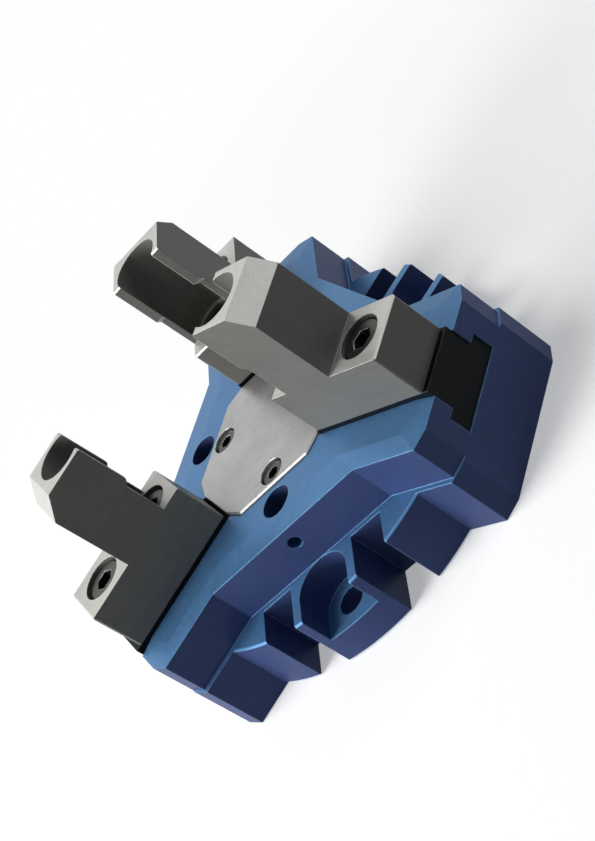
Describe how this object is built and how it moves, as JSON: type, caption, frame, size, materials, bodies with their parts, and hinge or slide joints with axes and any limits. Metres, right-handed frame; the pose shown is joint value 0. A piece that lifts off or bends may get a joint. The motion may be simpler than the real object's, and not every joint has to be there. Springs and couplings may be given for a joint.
{
  "type": "three jaw centric gripper",
  "caption": "Pneumatic centric gripper: a piston and wedge hub slide guided jaws together in or out, and stepped fingers are screwed to them to hold a round workpiece.",
  "frame": {"origin": "centre of the mounting face", "axes": "+Z along the gripper's axis towards the fingers, +X along the slide of jaw a"},
  "size_m": [0.141, 0.1542, 0.0862],
  "materials": {
    "anodised_blue": "satin blue anodised",
    "cover_metal": "fine milled, satin",
    "bare_aluminium": "turned, satin",
    "finger_steel": "ground and milled, satin",
    "guide_steel": "black oxide, oiled",
    "hub_steel": "hardened, ground",
    "screw_steel": "black oxide",
    "sleeve_steel": "hardened, ground",
    "spring_steel": "phosphated",
    "seal_rubber": "matt black"
  },
  "bodies": {
    "housing": {"housing": "anodised_blue", "front_cover": "cover_metal", "front_cover_screws": "screw_steel", "cylinder_cover": "bare_aluminium", "cylinder_cover_seal": "seal_rubber", "retaining_ring": "spring_steel", "rod_seal": "seal_rubber"},
    "piston": {"piston": "bare_aluminium", "piston_seal": "seal_rubber", "wedge_hub": "hub_steel", "hub_screw": "screw_steel"},
    "jaw_a": {"base_jaw_a": "guide_steel", "top_jaw_a": "finger_steel", "jaw_screws_a": "screw_steel", "locating_sleeves_a": "sleeve_steel"},
    "jaw_b": {"base_jaw_b": "guide_steel", "top_jaw_b": "finger_steel", "jaw_screws_b": "screw_steel", "locating_sleeves_b": "sleeve_steel"},
    "jaw_c": {"base_jaw_c": "guide_steel", "top_jaw_c": "finger_steel", "jaw_screws_c": "screw_steel", "locating_sleeves_c": "sleeve_steel"}
  },
  "joints": [
    {"name": "piston_slide", "type": "slide", "parent": "housing", "child": "piston", "axis": [0, 0, 1], "range_m": [0, 0.005]},
    {"name": "jaw_a_slide", "type": "slide", "parent": "housing", "child": "jaw_a", "axis": [1, 0, 0], "range_m": [0, 0.004]},
    {"name": "jaw_b_slide", "type": "slide", "parent": "housing", "child": "jaw_b", "axis": [-0.5, -0.866, 0], "range_m": [0, 0.004]},
    {"name": "jaw_c_slide", "type": "slide", "parent": "housing", "child": "jaw_c", "axis": [-0.5, 0.866, 0], "range_m": [0, 0.004]}
  ],
  "couplings": [
    {"joint": "jaw_a_slide", "follows": "piston_slide", "ratio": 0.8},
    {"joint": "jaw_b_slide", "follows": "piston_slide", "ratio": 0.8},
    {"joint": "jaw_c_slide", "follows": "piston_slide", "ratio": 0.8}
  ]
}
